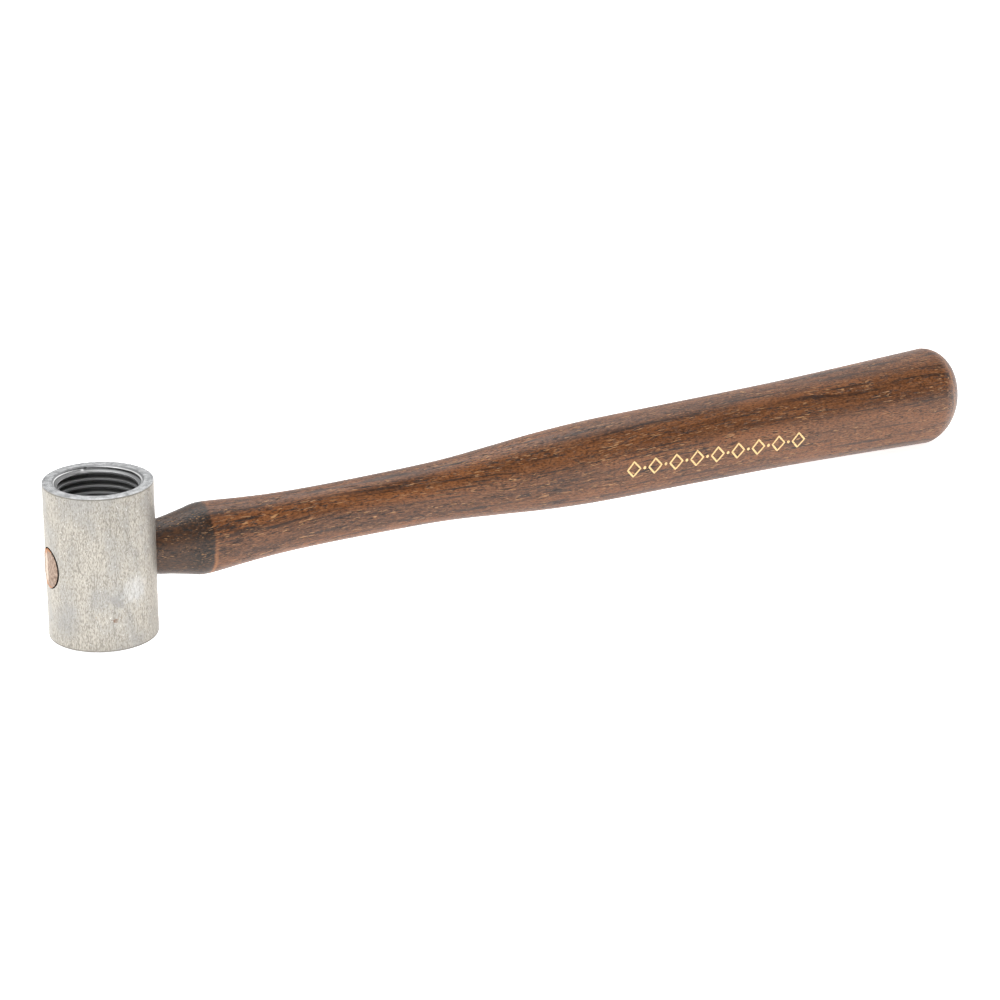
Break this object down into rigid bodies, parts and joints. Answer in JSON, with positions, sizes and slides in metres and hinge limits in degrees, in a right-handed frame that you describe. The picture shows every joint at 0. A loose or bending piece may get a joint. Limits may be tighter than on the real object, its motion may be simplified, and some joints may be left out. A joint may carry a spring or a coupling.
{
  "type": "threaded-face mallet body",
  "caption": "Small mallet without faces: a round aluminium head threaded at both ends for screw-in faces, on an oval hardwood handle wedged through the head.",
  "frame": {"origin": "middle of the mallet's length and width, on the plane of the head's lower rim", "axes": "+Z along the head's axis, up to its upper rim; +X along the handle, from the head to the butt; +Y across the handle, completing a right-handed frame"},
  "size_m": [0.3354, 0.0318, 0.0469],
  "materials": {
    "aluminium": "turned and tumbled, fine streaks along the axis, bright machined rims",
    "dark_hardwood": "open-pored hardwood, dark satin oil finish, nearly black at the shoulder",
    "pale_hardwood": "bare, sanded flush with the tenon",
    "gilt_stamp": "thin gilt foil pressed into the handle"
  },
  "bodies": {
    "root": {"head": "aluminium", "handle": "dark_hardwood", "wedge": "pale_hardwood"}
  },
  "joints": []
}
